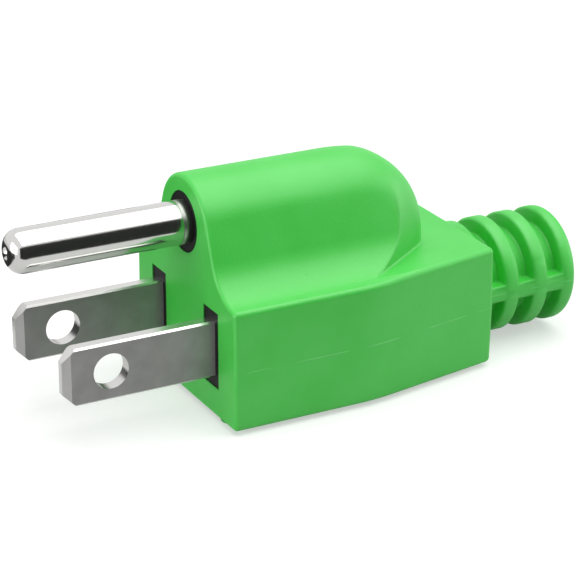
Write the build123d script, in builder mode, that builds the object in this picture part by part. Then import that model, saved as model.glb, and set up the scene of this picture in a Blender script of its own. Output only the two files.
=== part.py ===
from build123d import *
from math import acos, atan2, cos, degrees, hypot, radians, sin, tan
import os

os.makedirs("parts", exist_ok=True)

# A moulded bonding plug: a soft cover moulded over a black bridge that holds one round
# earth pin and two flat blades.  Millimetres.  The pins point to -Y, the cord would
# leave to +Y and +Z is up.  The origin lies on the seating face, midway between the blades.

# Flat blades, stamped from strip
blade_spacing = 12.7
blade_width = 6.35
blade_thickness = 1.52
blade_length = 17.0
blade_corner = 1.4
blade_edge_bevel = 0.2
blade_tip_bevel_length = 0.9
blade_tip_thickness = 0.8
blade_hole_diameter = 3.9
blade_hole_from_face = 11.7
blade_root_depth = 7.6
blade_tail_width = 3.6
blade_tail_length = 3.4
blade_tail_hole_diameter = 1.6

# Round earth pin, turned from rod, with a crimp barrel at its inner end
pin_diameter = 4.76
pin_height = 11.9
pin_length = 20.2
pin_nose_round = 1.7
pin_nose_dome = 0.3
pin_collar_diameter = 4.78
pin_collar_length = 0.9
pin_root_diameter = 4.3
pin_groove_depth = 0.4
pin_groove_start = 2.6
pin_groove_width = 1.2
pin_shank_diameter = 3.6
pin_shank_start = 7.6
barrel_diameter = 4.2
barrel_bore_diameter = 2.8
barrel_start = 9.2
barrel_length = 6.0
barrel_bore_depth = 5.1

# Black bridge, moulded in hard plastic round the three contacts
bridge_front = 1.9
bridge_thickness = 4.5
bridge_width = 19.0
bridge_height = 9.8
bridge_corner = 1.2
bridge_lobe_margin = 0.35
blade_boss_width = 3.45
blade_boss_height = 8.65
pin_boss_diameter = 6.7
boss_recess = 0.12
sleeve_wall = 1.0
sleeve_length = 1.4

# Soft cover, moulded in two mould halves that part on a level plane
cover_width = 24.1
cover_length = 33.4
straight_length = 17.0
side_run_in = 3.0
front_excess = 5.0
parting_height = -1.0
upper_depth = 6.95
lower_depth = 6.7
mould_draft = 1.0
shoulder_drop = 0.2
crown_radius = 5.75
crown_drop = 0.6
crown_length = 28.3
crown_rear_wall = 1.0
crown_ridge_margin = 0.03
crown_nose_radius = 5.65
crown_wedge_angle = 35.2
crown_edge_round = 0.3
crown_foot = 4.0
crease_round = 0.25
flank_spread = 0.75
skirt_margin = 0.9
cut_margin = 1.0
pick_margin = 0.25
side_round = 0.6
face_round = 0.5
rear_round = 0.8
taper_round = 25.0
pip_diameter = 3.3
pip_height = 0.5
pip_offset = 7.7
pip_from_face = 2.2

# Ribbed strain relief, one piece with the cover
relief_diameter = 13.2
relief_overlap = 1.0
relief_core_diameter = 9.8
collar_length = 1.3
groove_width = 1.9
ring_width = 1.92
ring_count = 3
web_height = 1.8
web_setback = 0.1
ring_bevel = 0.3
end_round = 0.9
cord_diameter = 6.0
cord_entry_bevel = 0.4
cord_socket_depth = 17.0

# Worked out from the sizes above
deck_height = parting_height + upper_depth
base_height = parting_height - lower_depth
shoulder_height = deck_height - shoulder_drop
crown_height = pin_height - crown_drop
half_width = cover_width / 2
half_rear_width = half_width - side_run_in
flank_radius = half_width - crown_radius - flank_spread
flank_height = shoulder_height + flank_radius
flank_rise = flank_height - crown_height
flank_lean = degrees(
    atan2(flank_rise, half_width) + acos((crown_radius + flank_radius) / hypot(half_width, flank_rise))
)
crown_top = crown_height + crown_radius
relief_length = collar_length + ring_count * (groove_width + ring_width)
overall_rear = cover_length + relief_length
barrel_end = barrel_start + barrel_length
bridge_rear = bridge_front + bridge_thickness


# Earth pin: turned profile, spun about the pin's own axis
pin_radius = pin_diameter / 2
collar_radius = pin_collar_diameter / 2
root_radius = pin_root_diameter / 2
nose_start = -pin_length + pin_nose_dome
nose_flat = pin_radius - pin_nose_round
groove_end = pin_groove_start + pin_groove_width

with BuildPart() as earth_pin:
    with BuildSketch(Plane.XY.offset(pin_height)) as turned:
        with BuildLine():
            ThreePointArc(
                (0, -pin_length),
                (nose_flat / 2, -pin_length + pin_nose_dome / 4),
                (nose_flat, nose_start),
            )
            CenterArc((nose_flat, nose_start + pin_nose_round), pin_nose_round, 270, 90)
            Polyline(
                (pin_radius, nose_start + pin_nose_round),
                (pin_radius, -pin_collar_length),
                (collar_radius, collar_radius - pin_radius - pin_collar_length),
                (collar_radius, boss_recess),
                (root_radius, boss_recess),
                (root_radius, pin_groove_start),
                (root_radius - pin_groove_depth, pin_groove_start),
                (root_radius - pin_groove_depth, groove_end),
                (root_radius, groove_end),
                (root_radius, pin_shank_start),
                (pin_shank_diameter / 2, pin_shank_start),
                (pin_shank_diameter / 2, barrel_start),
                (barrel_diameter / 2, barrel_start),
                (barrel_diameter / 2, barrel_end),
                (0, barrel_end),
                (0, -pin_length),
            )
        make_face()
    revolve(axis=Axis((0, 0, pin_height), (0, 1, 0)), revolution_arc=360)
    # Bore of the barrel, open to the rear
    with BuildSketch(Plane.XZ.offset(-barrel_end)):
        with Locations((0, pin_height)):
            Circle(barrel_bore_diameter / 2)
    extrude(amount=barrel_bore_depth, mode=Mode.SUBTRACT)

earth_pin.part.label = "earth_pin"
export_step(earth_pin.part, "parts/earth_pin.step")


# Flat blades: a bevelled strip, cut to its side outline
half_thickness = blade_thickness / 2
half_blade = blade_width / 2
blade_end = blade_root_depth + blade_tail_length


def make_blade(side):
    with BuildPart() as blade:
        # Section seen from above, with the lead-in bevel at the tip
        with BuildSketch(Plane(origin=(side * blade_spacing / 2, 0, -half_blade))):
            with BuildLine():
                Polyline(
                    (-half_thickness, blade_end),
                    (half_thickness, blade_end),
                    (half_thickness, blade_tip_bevel_length - blade_length),
                    (blade_tip_thickness / 2, -blade_length),
                    (-blade_tip_thickness / 2, -blade_length),
                    (-half_thickness, blade_tip_bevel_length - blade_length),
                    (-half_thickness, blade_end),
                )
            make_face()
        extrude(amount=blade_width)
        # Side outline: clipped corners at the tip, a narrow tail at the root
        with BuildSketch(Plane.YZ.offset(side * blade_spacing / 2)):
            with BuildLine():
                Polyline(
                    (-blade_length, 0),
                    (-blade_length, half_blade - blade_corner),
                    (blade_corner - blade_length, half_blade),
                    (blade_root_depth, half_blade),
                    (blade_root_depth, blade_tail_width / 2),
                    (blade_end, blade_tail_width / 2),
                    (blade_end, 0),
                )
                mirror(about=Plane.XZ)
            make_face()
            with Locations((-blade_hole_from_face, 0)):
                Circle(blade_hole_diameter / 2, mode=Mode.SUBTRACT)
            with Locations((blade_root_depth + blade_tail_length / 2, 0)):
                Circle(blade_tail_hole_diameter / 2, mode=Mode.SUBTRACT)
        extrude(amount=blade_thickness, both=True, mode=Mode.INTERSECT)
        # Rounded-off long edges of the contact length
        long_edges = blade.edges().filter_by(Axis.Y).filter_by(lambda e: e.length > blade_length / 2)
        chamfer(long_edges, length=blade_edge_bevel)
    return blade.part


blades = {"line_blade": make_blade(-1), "neutral_blade": make_blade(1)}
for name, blade in blades.items():
    blade.label = name
    export_step(blade, f"parts/{name}.step")


# Bridge: one plate behind the seating face, with a boss that reaches the face round each contact
lobe_radius = pin_boss_diameter / 2 + bridge_lobe_margin

with BuildPart() as bridge:
    with BuildSketch(Plane.XZ.offset(-bridge_front)):
        RectangleRounded(bridge_width, bridge_height, bridge_corner)
        with Locations((0, pin_height / 2)):
            Rectangle(2 * lobe_radius, pin_height)
        with Locations((0, pin_height)):
            Circle(lobe_radius)
    extrude(amount=-bridge_thickness)
    with BuildSketch(Plane.XZ.offset(-bridge_front)):
        with GridLocations(blade_spacing, 0, 2, 1):
            Rectangle(blade_boss_width, blade_boss_height)
        with Locations((0, pin_height)):
            Circle(pin_boss_diameter / 2)
    extrude(amount=bridge_front - boss_recess)
    with BuildSketch(Plane.XZ.offset(-bridge_rear)):
        with GridLocations(blade_spacing, 0, 2, 1):
            Rectangle(blade_thickness + 2 * sleeve_wall, blade_width + 2 * sleeve_wall)
    extrude(amount=-sleeve_length)
    add(earth_pin.part, mode=Mode.SUBTRACT)
    for blade in blades.values():
        add(blade, mode=Mode.SUBTRACT)

bridge.part.label = "bridge"
export_step(bridge.part, "parts/bridge.step")


# Crown envelope: level sections of a blunt wedge, which step forward as the rear rounds over
wedge = radians(crown_wedge_angle)
nose_centre = crown_length - crown_nose_radius
wedge_reach = half_width + cut_margin
nose_edge = crown_nose_radius * cos(wedge)
wing_start = nose_centre + crown_nose_radius * sin(wedge) - (wedge_reach - nose_edge) / tan(wedge)
crown_rear_centre = deck_height + crown_rear_wall
crown_rear_round = crown_top + crown_ridge_margin - crown_rear_centre
# Where the rear's quarter round is sectioned, in degrees from its foot
round_angles = [0, 15, 30, 45, 60, 75, 89]


def wedge_section(height, shift):
    """Level outline of the crown's rear, moved forward by shift."""
    with BuildSketch(Plane.XY.offset(height)) as section:
        with BuildLine():
            Polyline(
                (nose_edge, nose_centre + crown_nose_radius * sin(wedge) - shift),
                (wedge_reach, wing_start - shift),
                (wedge_reach, -front_excess),
                (-wedge_reach, -front_excess),
                (-wedge_reach, wing_start - shift),
                (-nose_edge, nose_centre + crown_nose_radius * sin(wedge) - shift),
            )
            CenterArc(
                (0, nose_centre - shift),
                crown_nose_radius,
                crown_wedge_angle,
                180 - 2 * crown_wedge_angle,
            )
        make_face()
    return section.sketch


with BuildPart() as crown_envelope:
    add(wedge_section(deck_height - crown_foot, 0))
    extrude(amount=crown_rear_centre - deck_height + crown_foot)
    loft(
        [
            wedge_section(
                crown_rear_centre + crown_rear_round * sin(radians(a)),
                crown_rear_round * (1 - cos(radians(a))),
            )
            for a in round_angles
        ]
    )


def front_profile(lowest):
    """Outline seen from the front: crown, hollow flanks and skirts that reach down to lowest."""
    with BuildSketch(Plane.XZ) as outline:
        with BuildLine():
            Polyline(
                (0, lowest),
                (half_width + skirt_margin, lowest),
                (half_width + skirt_margin, shoulder_height),
                (half_width, shoulder_height),
            )
            flank = CenterArc((half_width, flank_height), flank_radius, 270, flank_lean - 90)
            crest = CenterArc((0, crown_height), crown_radius, flank_lean, 90 - flank_lean)
            Line(flank @ 1, crest @ 0)
            mirror(about=Plane.YZ)
        make_face()
    return outline.sketch


# Crown: the front profile drawn out along the plug and cut to the envelope.  It reaches
# down past the deck, so that its rounded rear edges keep a full wall under them.
with BuildPart() as crown:
    extrude(front_profile(deck_height - crown_foot), amount=cover_length, dir=(0, 1, 0))
    add(crown_envelope.part, mode=Mode.INTERSECT)
    crown_rear_edges = crown.edges().filter_by(
        lambda e: e.geom_type not in (GeomType.LINE, GeomType.CIRCLE)
        and e.bounding_box().min.Z > shoulder_height - pick_margin
        and abs(abs(e.center().X) - nose_edge) > pick_margin
    )
    fillet(crown_rear_edges, radius=crown_edge_round)

# What is cleared away above the deck, behind and beside the crown
with BuildPart() as clearing:
    with BuildSketch(Plane.XY.offset(deck_height)):
        with Locations((0, cover_length / 2)):
            Rectangle(2 * (half_width + skirt_margin), cover_length + 2 * cut_margin)
    extrude(amount=crown_top - deck_height + cut_margin)
    add(crown.part, mode=Mode.SUBTRACT)
    # The rounded foot of the crown's rear wall
    foot_edges = (
        clearing.edges()
        .group_by(Axis.Z)[0]
        .filter_by(
            lambda e: e.geom_type in (GeomType.LINE, GeomType.CIRCLE)
            and abs(e.center().X) < half_width
            and straight_length < e.center().Y < cover_length
        )
    )
    fillet(foot_edges, radius=crease_round)


def on_side_wall(point):
    """True where a point lies on the drafted side or rear wall."""
    run_in = max(0.0, point.Y - straight_length) / (cover_length - straight_length)
    wall = half_width - run_in * side_run_in
    lean = (point.Z - parting_height) * tan(radians(mould_draft))
    return abs(abs(point.X) - wall + lean) < pick_margin or point.Y > cover_length - rear_round


# Cover: the level outline with mould draft above and below the parting plane,
# trimmed to the front profile, then cleared behind the crown
relief_radius = relief_diameter / 2
core_radius = relief_core_diameter / 2
ring_pitch = groove_width + ring_width
groove_starts = [cover_length + collar_length + i * ring_pitch for i in range(ring_count)]

with BuildPart() as cover:
    with BuildSketch(Plane.XY.offset(parting_height)) as plan:
        with BuildLine():
            Polyline(
                (0, -front_excess),
                (half_width, -front_excess),
                (half_width, straight_length),
                (half_rear_width, cover_length),
                (0, cover_length),
            )
            mirror(about=Plane.YZ)
        make_face()
        fillet(plan.vertices().group_by(Axis.Y)[-1], radius=rear_round)
    extrude(amount=crown_top - parting_height + cut_margin, taper=mould_draft)
    extrude(plan.sketch, amount=-lower_depth, taper=mould_draft)
    extrude(
        front_profile(base_height),
        amount=cover_length + cut_margin,
        dir=(0, 1, 0),
        mode=Mode.INTERSECT,
    )
    add(clearing.part, mode=Mode.SUBTRACT)

    # Soft bend where the sides begin to run in
    bends = cover.edges().filter_by(
        lambda e: e.bounding_box().size.Z > lower_depth - pick_margin
        and abs(e.center().Y - straight_length) < pick_margin
        and abs(e.center().X) > half_rear_width
    )
    fillet(bends, radius=taper_round)
    # Rounded edge all round the base, except at the seating face
    base_edges = cover.edges().group_by(Axis.Z)[0].filter_by(lambda e: e.center().Y > pick_margin)
    fillet(base_edges, radius=side_round)
    # Rounded edge all round the deck and along the shoulders
    rim_edges = cover.edges().filter_by(
        lambda e: shoulder_height - pick_margin < e.bounding_box().min.Z
        and e.bounding_box().max.Z < deck_height + pick_margin
        and on_side_wall(e.center())
    )
    fillet(rim_edges, radius=side_round)
    # Rounded outline of the seating face
    fillet(cover.faces().sort_by(Axis.Y)[0].edges(), radius=face_round)

    # Small mould pip under the front edge
    with BuildSketch(Plane.XY.offset(base_height)):
        with Locations((pip_offset, pip_from_face)):
            Circle(pip_diameter / 2)
    extrude(amount=-pip_height)

    # Strain relief: a turned form with ribs round a core
    with BuildSketch(Plane.XY.offset(parting_height)) as relief_half:
        with Locations((0, cover_length - relief_overlap)):
            Rectangle(relief_radius, relief_length + relief_overlap, align=(Align.MIN, Align.MIN))
        with Locations(*[(core_radius, start) for start in groove_starts]):
            Rectangle(relief_radius, groove_width, align=(Align.MIN, Align.MIN), mode=Mode.SUBTRACT)
        rims = relief_half.vertices().group_by(Axis.X)[-1].sort_by(Axis.Y)
        chamfer(rims[1:-1], length=ring_bevel)
        fillet(relief_half.vertices().group_by(Axis.X)[-1].sort_by(Axis.Y)[-1], radius=end_round)
    revolve(axis=Axis((0, 0, parting_height), (0, 1, 0)), revolution_arc=360)
    # A web down each side joins the ribs along the parting plane
    with BuildSketch(Plane.XZ.offset(-cover_length)):
        with Locations((0, parting_height)):
            Circle(relief_radius - web_setback)
            Rectangle(relief_diameter, web_height, mode=Mode.INTERSECT)
    extrude(amount=-(relief_length - ring_width / 2))
    # Blind socket for the cord
    with BuildSketch(Plane.XZ.offset(-overall_rear)):
        with Locations((0, parting_height)):
            Circle(cord_diameter / 2)
    extrude(amount=cord_socket_depth, mode=Mode.SUBTRACT)
    mouth = cover.edges().filter_by(GeomType.CIRCLE).filter_by(
        lambda e: abs(e.radius - cord_diameter / 2) < pick_margin
        and abs(e.center().Y - overall_rear) < pick_margin
    )
    chamfer(mouth, length=cord_entry_bevel)

    # Openings in the seating face, in which the bosses lie a little below the surface
    with BuildSketch(Plane.XZ.offset(-boss_recess)):
        with GridLocations(blade_spacing, 0, 2, 1):
            Rectangle(blade_boss_width, blade_boss_height)
        with Locations((0, pin_height)):
            Circle(pin_boss_diameter / 2)
    extrude(amount=boss_recess + cut_margin, mode=Mode.SUBTRACT)
    # The cover is moulded over the other pieces, so their exact forms are taken out of it
    add(bridge.part, mode=Mode.SUBTRACT)
    add(earth_pin.part, mode=Mode.SUBTRACT)
    for blade in blades.values():
        add(blade, mode=Mode.SUBTRACT)

cover.part.label = "cover"
export_step(cover.part, "parts/cover.step")
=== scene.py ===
from math import asin, cos, radians, sqrt, tan, tau

import bmesh
import bpy
from mathutils import Matrix, Vector


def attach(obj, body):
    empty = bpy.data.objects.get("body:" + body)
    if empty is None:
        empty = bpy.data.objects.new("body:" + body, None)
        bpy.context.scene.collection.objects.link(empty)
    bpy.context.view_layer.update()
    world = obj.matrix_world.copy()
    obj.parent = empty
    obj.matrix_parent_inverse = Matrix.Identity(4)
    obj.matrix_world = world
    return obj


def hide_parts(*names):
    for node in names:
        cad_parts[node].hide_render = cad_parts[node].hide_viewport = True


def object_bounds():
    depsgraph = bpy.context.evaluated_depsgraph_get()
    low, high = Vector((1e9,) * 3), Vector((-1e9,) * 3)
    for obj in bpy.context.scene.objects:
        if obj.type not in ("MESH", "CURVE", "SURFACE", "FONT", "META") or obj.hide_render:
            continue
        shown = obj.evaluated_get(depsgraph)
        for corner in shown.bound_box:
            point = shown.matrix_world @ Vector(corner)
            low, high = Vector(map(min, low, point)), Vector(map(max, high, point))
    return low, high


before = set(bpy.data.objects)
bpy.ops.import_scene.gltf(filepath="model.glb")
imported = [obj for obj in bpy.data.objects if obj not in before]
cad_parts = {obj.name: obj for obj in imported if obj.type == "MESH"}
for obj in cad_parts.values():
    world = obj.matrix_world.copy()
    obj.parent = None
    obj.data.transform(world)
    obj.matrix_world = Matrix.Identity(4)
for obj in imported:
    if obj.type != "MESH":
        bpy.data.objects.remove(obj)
cad_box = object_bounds()

# The soft cover, a green PVC moulding shot over everything else in one piece.  The mould
# leaves a fine satin grain, softly rounded edges and a thin line where its halves part.
# Sizes are in millimetres, and MM turns them into metres.
MM = 0.001
merge_distance = 0.0005


def linear(hex_colour):
    """An sRGB hex colour as linear RGBA."""
    channels = [int(hex_colour[i:i + 2], 16) / 255 for i in (1, 3, 5)]
    return [c / 12.92 if c <= 0.04045 else ((c + 0.055) / 1.055) ** 2.4 for c in channels] + [1.0]


def add_node(tree, kind, settings=None, links=None):
    """Adds a node, sets its properties or input values, and links its inputs."""
    node = tree.nodes.new(kind)
    for key, value in (settings or {}).items():
        if isinstance(key, str) and hasattr(node, key):
            setattr(node, key, value)
        else:
            node.inputs[key].default_value = value
    for key, source in (links or {}).items():
        tree.links.new(source, node.inputs[key])
    return node


def new_material(name):
    """An empty node material with its output node."""
    material = bpy.data.materials.new(name)
    material.use_nodes = True
    material.node_tree.nodes.clear()
    output = add_node(material.node_tree, "ShaderNodeOutputMaterial")
    return material, material.node_tree, output


def smooth_copy(node, name, sharp_angle):
    """A merged copy of a CAD node's mesh, smooth except at its sharp edges."""
    mesh = bpy.data.meshes.new(name)
    form = bmesh.new()
    form.from_mesh(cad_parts[node].data)
    bmesh.ops.remove_doubles(form, verts=form.verts, dist=merge_distance * MM)
    form.to_mesh(mesh)
    form.free()
    mesh.materials.clear()
    mesh.shade_smooth()
    mesh.set_sharp_from_angle(angle=radians(sharp_angle))
    piece = bpy.data.objects.new(name, mesh)
    bpy.context.scene.collection.objects.link(piece)
    weighting = piece.modifiers.new("even_shading", "WEIGHTED_NORMAL")
    weighting.keep_sharp = True
    return piece


# The crown's ridge and rounded rear as they are moulded, and the stretch of ridge over
# which the corner between them is eased
ridge_axis_height = 11.3
ridge_radius = 5.75
rear_nose_radius = 5.65
rear_nose_centre = 22.65
rear_round_foot = 6.95
rear_round_radius = 10.13
ridge_half_width = 0.8 * rear_nose_radius
ease_length = 3.4
ease_step = 0.4
ease_start = rear_nose_centre - 2 * ease_length
ease_end = rear_nose_centre + ease_length
ease_from_height = 11.0
ease_full_height = 14.0
cut_tolerance = 0.0001


def corner_drop(x, y, z):
    """How far a point drops so that the ridge runs into the rear in one smooth curve."""
    side = min(abs(x), ridge_half_width)
    ridge = ridge_axis_height + sqrt(ridge_radius ** 2 - side ** 2)
    rise = asin((ridge - rear_round_foot) / rear_round_radius)
    nose = rear_nose_centre + sqrt(rear_nose_radius ** 2 - side ** 2)
    corner = nose - rear_round_radius * (1 - cos(rise))
    near = max(0.0, 1 - abs(y - corner) / ease_length)
    height_share = (z - ease_from_height) / (ease_full_height - ease_from_height)
    full = min(1.0, max(0.0, height_share))
    # A parabola laid over a corner passes below it by a quarter of its slope times its reach
    return full * near ** 2 * ease_length / (4 * tan(rise))


def ease_crown_corner(mesh):
    """Cuts the crown's rear into narrow strips and lowers them into one smooth curve."""
    form = bmesh.new()
    form.from_mesh(mesh)
    for i in range(int((ease_end - ease_start) / ease_step)):
        cut = (ease_start + i * ease_step) * MM
        high = [face for face in form.faces if max(v.co.z for v in face.verts) > ease_from_height * MM]
        corners = [v for face in high for v in face.verts]
        sides = [e for face in high for e in face.edges]
        bmesh.ops.bisect_plane(
            form,
            geom=list(dict.fromkeys(corners + sides + high)),
            dist=cut_tolerance * MM,
            plane_co=(0, cut, 0),
            plane_no=(0, 1, 0),
        )
    for v in form.verts:
        v.co.z -= corner_drop(v.co.x / MM, v.co.y / MM, v.co.z / MM) * MM
    form.to_mesh(mesh)
    form.free()


def smooth_step(low, high):
    """Settings of a Map Range node that rises smoothly from 0 at low to 1 at high, in millimetres."""
    return {"interpolation_type": "SMOOTHSTEP", "From Min": low * MM, "From Max": high * MM}


# Sockets of a Mix node that mixes colours, which share their names with other sockets
mix_share = 0
mix_first = 6
mix_second = 7
mix_result = 2


def moulded_pvc():
    """Plasticised PVC from a spark-finished mould: a wax-like satin with a faint pebble grain."""
    material, tree, output = new_material("soft_pvc_satin_green")
    place = add_node(tree, "ShaderNodeTexCoord").outputs["Object"]
    axes = add_node(tree, "ShaderNodeSeparateXYZ", {}, {"Vector": place})

    # Colour: slight clouding, as in any tinted soft plastic
    cloud_size = 6.0
    cloud = add_node(
        tree, "ShaderNodeTexNoise",
        {"Scale": 1 / (cloud_size * MM), "Detail": 2.0},
        {"Vector": place},
    )
    tint = add_node(tree, "ShaderNodeValToRGB", {}, {"Fac": cloud.outputs["Fac"]})
    tint.color_ramp.elements[0].position = 0.35
    tint.color_ramp.elements[0].color = linear("#36c83c")
    tint.color_ramp.elements[1].position = 0.65
    tint.color_ramp.elements[1].color = linear("#40cc46")

    # Edges: crisp on the body, rounded on the ribs, and most where the crown rolls over to its rear
    rib_rounding = 0.4
    crown_rounding = 1.8
    behind_body = smooth_step(low=33, high=34)
    behind_middle = smooth_step(low=10, high=14)
    above_deck = smooth_step(low=7, high=13)
    on_ribs = add_node(tree, "ShaderNodeMapRange", behind_body, {"Value": axes.outputs["Y"]})
    far_back = add_node(tree, "ShaderNodeMapRange", behind_middle, {"Value": axes.outputs["Y"]})
    high_up = add_node(tree, "ShaderNodeMapRange", above_deck, {"Value": axes.outputs["Z"]})
    ribs = add_node(
        tree, "ShaderNodeMath",
        {"operation": "MULTIPLY", 1: rib_rounding * MM},
        {0: on_ribs.outputs["Result"]},
    )
    crown_rear = add_node(
        tree, "ShaderNodeMath",
        {"operation": "MULTIPLY"},
        {0: far_back.outputs["Result"], 1: high_up.outputs["Result"]},
    )
    radius = add_node(
        tree, "ShaderNodeMath",
        {"operation": "MULTIPLY_ADD", 1: crown_rounding * MM},
        {0: crown_rear.outputs[0], 2: ribs.outputs[0]},
    )
    edges = add_node(tree, "ShaderNodeBevel", {"samples": 8}, {"Radius": radius.outputs[0]})

    # Grain: spark marks are nearer 0.1 mm across, and are drawn coarser so that they show
    grain_size = 0.3
    grain_depth = 0.05
    grain = add_node(
        tree, "ShaderNodeTexNoise",
        {"Scale": 1 / (grain_size * MM), "Detail": 3.0},
        {"Vector": place},
    )
    pebbles = add_node(
        tree, "ShaderNodeBump",
        {"Strength": 0.3, "Distance": grain_depth * MM},
        {"Height": grain.outputs["Fac"], "Normal": edges.outputs["Normal"]},
    )

    # Parting line: a low ridge where the two mould halves met, worn away in patches, with a painted
    # highlight that makes the colour paler along it
    parting_height = -1.0
    ridge_foot = 0.12
    ridge_crest = 0.03
    ridge_depth = 0.05
    patch_size = 4.0
    above_line = add_node(
        tree, "ShaderNodeMath",
        {"operation": "SUBTRACT", 1: parting_height * MM},
        {0: axes.outputs["Z"]},
    )
    off_line = add_node(tree, "ShaderNodeMath", {"operation": "ABSOLUTE"}, {0: above_line.outputs[0]})
    ridge_side = smooth_step(low=ridge_foot, high=ridge_crest)
    on_line = add_node(tree, "ShaderNodeMapRange", ridge_side, {"Value": off_line.outputs[0]})
    patches = add_node(
        tree, "ShaderNodeTexNoise",
        {"Scale": 1 / (patch_size * MM), "Detail": 1.0},
        {"Vector": place},
    )
    unworn = add_node(
        tree, "ShaderNodeMapRange",
        {"From Min": 0.46, "From Max": 0.62},
        {"Value": patches.outputs["Fac"]},
    )
    line_left = add_node(
        tree, "ShaderNodeMath",
        {"operation": "MULTIPLY"},
        {0: on_line.outputs["Result"], 1: unworn.outputs["Result"]},
    )
    parting = add_node(
        tree, "ShaderNodeBump",
        {"Strength": 0.5, "Distance": ridge_depth * MM},
        {"Height": line_left.outputs[0], "Normal": pebbles.outputs["Normal"]},
    )
    # Painted highlight: the base colour turns paler where the ridge stands
    ridge_painted_highlight = add_node(
        tree, "ShaderNodeMix",
        {"data_type": "RGBA", mix_second: linear("#62d668")},
        {mix_share: line_left.outputs[0], mix_first: tint.outputs["Color"]},
    )

    # Light goes a little way in, as it does in any soft vinyl
    glow_depth = 0.6
    shader = add_node(
        tree, "ShaderNodeBsdfPrincipled",
        {
            "Roughness": 0.46,
            "IOR": 1.53,
            "Specular IOR Level": 0.8,
            "Subsurface Weight": 0.08,
            "Subsurface Scale": glow_depth * MM,
        },
        {"Base Color": ridge_painted_highlight.outputs[mix_result], "Normal": parting.outputs["Normal"]},
    )
    tree.links.new(shader.outputs["BSDF"], output.inputs["Surface"])
    return material


cover = smooth_copy("cover", "soft_cover", sharp_angle=32)
ease_crown_corner(cover.data)
cover.data.materials.append(moulded_pvc())
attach(cover, "root")
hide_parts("cover")


# The bridge, a hard black moulding that holds the three contacts at their spacing.  Only
# thin borders of it show, round the contacts and a tenth of a millimetre below the face.
def black_moulding():
    """Hard glass-filled plastic, straight from the mould: dull black with an uneven sheen."""
    material, tree, output = new_material("hard_black_moulding")
    place = add_node(tree, "ShaderNodeTexCoord").outputs["Object"]
    grain_size = 0.3
    grain = add_node(
        tree, "ShaderNodeTexNoise",
        {"Scale": 1 / (grain_size * MM), "Detail": 2.0},
        {"Vector": place},
    )
    rough = add_node(
        tree, "ShaderNodeMapRange",
        {"To Min": 0.4, "To Max": 0.6},
        {"Value": grain.outputs["Fac"]},
    )
    shader = add_node(
        tree, "ShaderNodeBsdfPrincipled",
        {"Base Color": linear("#1b191b"), "IOR": 1.45, "Specular IOR Level": 0.2},
        {"Roughness": rough.outputs["Result"]},
    )
    tree.links.new(shader.outputs["BSDF"], output.inputs["Surface"])
    return material


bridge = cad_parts["bridge"]
bridge.data.materials.clear()
bridge.data.materials.append(black_moulding())


# The earth pin, turned from brass rod and nickel plated to a mirror.  A short collar shows
# in front of the face, and is drawn rougher and darker.
def bright_nickel():
    """Bright nickel plate over turned brass: a near mirror with very fine turning lines."""
    material, tree, output = new_material("bright_nickel_plate")
    place = add_node(tree, "ShaderNodeTexCoord").outputs["Object"]
    axes = add_node(tree, "ShaderNodeSeparateXYZ", {}, {"Vector": place})

    # Turning lines: real ones are nearer 0.1 mm apart, and are drawn wider so that they show.
    # At a scale of 1, a wave's bands are a twentieth of a full turn apart.
    line_spacing = 0.283
    spacing_at_one = tau / 20
    lines = add_node(
        tree, "ShaderNodeTexWave",
        {
            "bands_direction": "Y",
            "Scale": spacing_at_one / (line_spacing * MM),
            "Distortion": 1.0,
            "Detail": 2.0,
        },
        {"Vector": place},
    )
    polished = add_node(
        tree, "ShaderNodeMapRange",
        {"To Min": 0.1, "To Max": 0.16},
        {"Value": lines.outputs["Fac"]},
    )

    # The collar is rougher and darker in colour, from a millimetre in front of the face
    near_face = smooth_step(low=-1.2, high=-0.8)
    on_collar = add_node(
        tree, "ShaderNodeMapRange", near_face, {"Value": axes.outputs["Y"]}
    ).outputs["Result"]
    rough = add_node(
        tree, "ShaderNodeMix",
        {"B": 0.4},
        {"Factor": on_collar, "A": polished.outputs["Result"]},
    )
    tone = add_node(tree, "ShaderNodeValToRGB", {}, {"Fac": on_collar})
    tone.color_ramp.elements[0].color = linear("#d6d5d3")
    tone.color_ramp.elements[1].color = linear("#a3a2a1")

    shader = add_node(
        tree, "ShaderNodeBsdfPrincipled",
        {"Metallic": 1.0},
        {"Base Color": tone.outputs["Color"], "Roughness": rough.outputs["Result"]},
    )
    tree.links.new(shader.outputs["BSDF"], output.inputs["Surface"])
    return material


pin = smooth_copy("earth_pin", "turned_pin", sharp_angle=30)
pin.data.materials.append(bright_nickel())
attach(pin, "root")
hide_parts("earth_pin")


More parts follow.
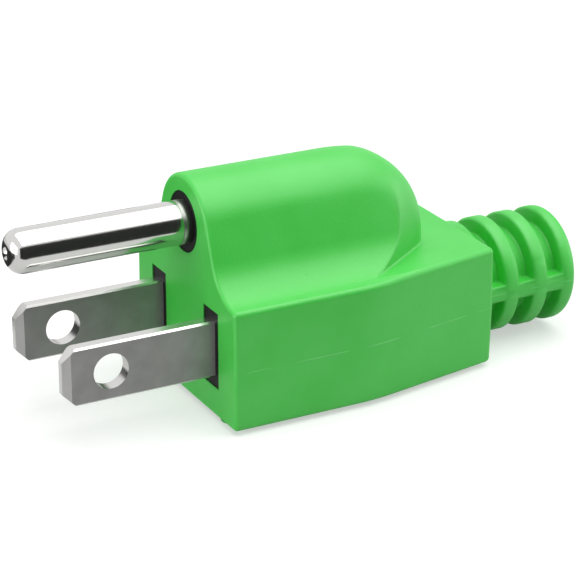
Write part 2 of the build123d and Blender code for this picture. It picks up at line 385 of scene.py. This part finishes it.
# The flat blades, blanked from brass strip and nickel plated.  The flats keep the dull
# satin of rolled strip, and the sheared edges are brighter.
def satin_nickel():
    """Nickel plate on rolled strip: dull satin flats with rolling lines, bright sheared edges."""
    material, tree, output = new_material("satin_nickel_strip")
    place = add_node(tree, "ShaderNodeTexCoord")

    # Flats: rolling lines along the strip, drawn wider than real ones so that they show
    line_width = 0.15
    lengthwise_stretch = 0.08
    stretched = add_node(
        tree, "ShaderNodeMapping",
        {"Scale": (1.0, lengthwise_stretch, 1.0)},
        {"Vector": place.outputs["Object"]},
    )
    lines = add_node(
        tree, "ShaderNodeTexNoise",
        {"Scale": 1 / (line_width * MM), "Detail": 4.0},
        {"Vector": stretched.outputs["Vector"]},
    )
    flat_rough = add_node(
        tree, "ShaderNodeMapRange",
        {"To Min": 0.4, "To Max": 0.52},
        {"Value": lines.outputs["Fac"]},
    )
    stain_size = 2.5
    stains = add_node(
        tree, "ShaderNodeTexNoise",
        {"Scale": 1 / (stain_size * MM), "Detail": 3.0},
        {"Vector": place.outputs["Object"]},
    )
    flat_tone = add_node(tree, "ShaderNodeValToRGB", {}, {"Fac": stains.outputs["Fac"]})
    flat_tone.color_ramp.elements[0].position = 0.3
    flat_tone.color_ramp.elements[0].color = linear("#8e8d8c")
    flat_tone.color_ramp.elements[1].position = 0.7
    flat_tone.color_ramp.elements[1].color = linear("#9d9c9b")

    # The flats face to the sides; every sheared edge, bevel and hole wall is turned away from them
    facing = add_node(tree, "ShaderNodeSeparateXYZ", {}, {"Vector": place.outputs["Normal"]})
    sideways = add_node(tree, "ShaderNodeMath", {"operation": "ABSOLUTE"}, {0: facing.outputs["X"]})
    on_flat = add_node(
        tree, "ShaderNodeMapRange",
        {"From Min": 0.88, "From Max": 0.97},
        {"Value": sideways.outputs[0]},
    ).outputs["Result"]
    tone = add_node(
        tree, "ShaderNodeMix",
        {"data_type": "RGBA", mix_first: linear("#d9d8d6")},
        {mix_share: on_flat, mix_second: flat_tone.outputs["Color"]},
    )
    metal = add_node(tree, "ShaderNodeMapRange", {"To Min": 1.0, "To Max": 0.2}, {"Value": on_flat})
    rough = add_node(
        tree, "ShaderNodeMix",
        {"A": 0.25},
        {"Factor": on_flat, "B": flat_rough.outputs["Result"]},
    )

    shader = add_node(
        tree, "ShaderNodeBsdfPrincipled",
        {},
        {
            "Base Color": tone.outputs[mix_result],
            "Metallic": metal.outputs["Result"],
            "Roughness": rough.outputs["Result"],
        },
    )
    tree.links.new(shader.outputs["BSDF"], output.inputs["Surface"])
    return material


blade_finish = satin_nickel()
for blade_name in ("line_blade", "neutral_blade"):
    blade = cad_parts[blade_name]
    blade.data.materials.clear()
    blade.data.materials.append(blade_finish)


# The studio floor, a sheet of pale paper that the plug rests on.  From the camera it runs
# out into white, and near the plug it stays dim enough to show a soft shadow.
def studio_paper():
    """Matt uncoated paper: it scatters light evenly and has no shine."""
    material, tree, output = new_material("pale_studio_paper")
    path = add_node(tree, "ShaderNodeLightPath")
    place = add_node(tree, "ShaderNodeTexCoord").outputs["Object"]
    away = add_node(tree, "ShaderNodeVectorMath", {"operation": "LENGTH"}, {0: place})
    fade = add_node(
        tree, "ShaderNodeMapRange",
        {"From Min": 0.1, "From Max": 0.35, "To Min": 0.5, "To Max": 1.0},
        {"Value": away.outputs["Value"]},
    )
    # Reflections see less of the glow than the camera does
    share_in_reflections = 0.4
    reflected = add_node(
        tree, "ShaderNodeMath",
        {"operation": "MULTIPLY", 1: share_in_reflections},
        {0: path.outputs["Is Glossy Ray"]},
    )
    seen = add_node(
        tree, "ShaderNodeMath",
        {"operation": "MAXIMUM"},
        {0: path.outputs["Is Camera Ray"], 1: reflected.outputs[0]},
    )
    strength = add_node(
        tree, "ShaderNodeMath",
        {"operation": "MULTIPLY"},
        {0: seen.outputs[0], 1: fade.outputs["Result"]},
    )
    glow = add_node(
        tree, "ShaderNodeEmission",
        {"Color": linear("#ffffff")},
        {"Strength": strength.outputs[0]},
    )
    paper = add_node(tree, "ShaderNodeBsdfDiffuse", {"Color": linear("#cccccc")})
    lit_paper = add_node(tree, "ShaderNodeAddShader", {}, {0: paper.outputs[0], 1: glow.outputs[0]})
    tree.links.new(lit_paper.outputs[0], output.inputs["Surface"])
    return material


floor_size = 4.0
bpy.ops.mesh.primitive_plane_add(size=floor_size, location=(0, 0, cad_box[0][2]))
floor = bpy.context.object
floor.name = "studio_floor"
floor.data.materials.append(studio_paper())

# The room: a low even light on everything, and white wherever the camera or a reflection
# looks past the floor.
room_strength = 0.17
backdrop_strength = 1.0
world = bpy.data.worlds.new("studio")
bpy.context.scene.world = world
world.use_nodes = True
room_tree = world.node_tree
room_tree.nodes.clear()
ray = add_node(room_tree, "ShaderNodeLightPath")
camera_or_glossy = add_node(
    room_tree, "ShaderNodeMath",
    {"operation": "MAXIMUM"},
    {0: ray.outputs["Is Camera Ray"], 1: ray.outputs["Is Glossy Ray"]},
)
sees_backdrop = add_node(
    room_tree, "ShaderNodeMath",
    {"operation": "MAXIMUM"},
    {0: camera_or_glossy.outputs[0], 1: ray.outputs["Is Transmission Ray"]},
)
room = add_node(
    room_tree, "ShaderNodeBackground", {"Color": linear("#ffffff"), "Strength": room_strength}
)
backdrop = add_node(
    room_tree, "ShaderNodeBackground", {"Color": linear("#ffffff"), "Strength": backdrop_strength}
)
room_or_backdrop = add_node(
    room_tree, "ShaderNodeMixShader",
    {},
    {0: sees_backdrop.outputs[0], 1: room.outputs[0], 2: backdrop.outputs[0]},
)
add_node(room_tree, "ShaderNodeOutputWorld", {}, {"Surface": room_or_backdrop.outputs[0]})


# The lamps: a large softbox overhead, a smaller one before the contacts and a weak one
# behind the strain relief.  Places are in metres.
def add_lamp(name, place, aim, width, depth, watts):
    """A rectangular softbox that faces the point it is aimed at."""
    lamp = bpy.data.lights.new(name, "AREA")
    lamp.shape = "RECTANGLE"
    lamp.size = width
    lamp.size_y = depth
    lamp.energy = watts
    softbox = bpy.data.objects.new(name, lamp)
    softbox.location = place
    softbox.rotation_euler = (Vector(aim) - Vector(place)).to_track_quat("-Z", "Y").to_euler()
    bpy.context.scene.collection.objects.link(softbox)


add_lamp("top_softbox", place=(0.07, 0.10, 0.45), aim=(0.07, 0.10, 0), width=0.7, depth=0.6, watts=2.85)
add_lamp("front_softbox", place=(0.02, -0.50, 0.12), aim=(0, 0, 0), width=0.4, depth=0.3, watts=1.25)
add_lamp("rear_softbox", place=(0.14, 0.50, 0.15), aim=(0, 0.04, 0), width=0.3, depth=0.3, watts=0.6)


# The cards: two black flock boards that only reflections see.  They give the plated metal
# its dark bands, as they do in any product studio.
def black_flock():
    """Flocked board: short fibres that take up most of the light and never shine."""
    material, tree, output = new_material("black_flock_card")
    flock = add_node(tree, "ShaderNodeBsdfDiffuse", {"Color": linear("#444444")})
    tree.links.new(flock.outputs[0], output.inputs["Surface"])
    return material


card_finish = black_flock()


def add_card(name, left, right, low, high):
    """An upright card between two places on the floor, in millimetres."""
    corners = [(*left, low), (*right, low), (*right, high), (*left, high)]
    mesh = bpy.data.meshes.new(name)
    mesh.from_pydata([Vector(corner) * MM for corner in corners], [], [(0, 1, 2, 3)])
    mesh.materials.append(card_finish)
    card = bpy.data.objects.new(name, mesh)
    bpy.context.scene.collection.objects.link(card)
    card.visible_camera = False
    card.visible_diffuse = False
    card.visible_shadow = False
    card.visible_transmission = False


add_card("side_card", left=(44, -60), right=(44, 50), low=-8, high=46)
add_card("nose_card", left=(-60, 20), right=(10, -75), low=-8, high=9)

# The camera, at the photograph's viewing angle, which was solved from the usual spacing
# and size of the contacts.
camera_azimuth = radians(62.009)
camera_elevation = radians(22.452)
camera_roll = radians(0.121)
camera_place = Vector((201.8, -94.77, 96.38)) * MM
focal_pixels = 2269.3
frame_pixels = 576
lens = bpy.data.cameras.new("photo_camera")
lens.sensor_width = 36.0
lens.lens = focal_pixels / frame_pixels * lens.sensor_width
lens.clip_start = 0.01
lens.clip_end = 10
camera = bpy.data.objects.new("photo_camera", lens)
bpy.context.scene.collection.objects.link(camera)
turn = (
    Matrix.Rotation(camera_azimuth, 4, "Z")
    @ Matrix.Rotation(radians(90) - camera_elevation, 4, "X")
    @ Matrix.Rotation(camera_roll, 4, "Z")
)
camera.matrix_world = Matrix.Translation(camera_place) @ turn
bpy.context.scene.camera = camera

bpy.context.scene.view_settings.view_transform = "Standard"
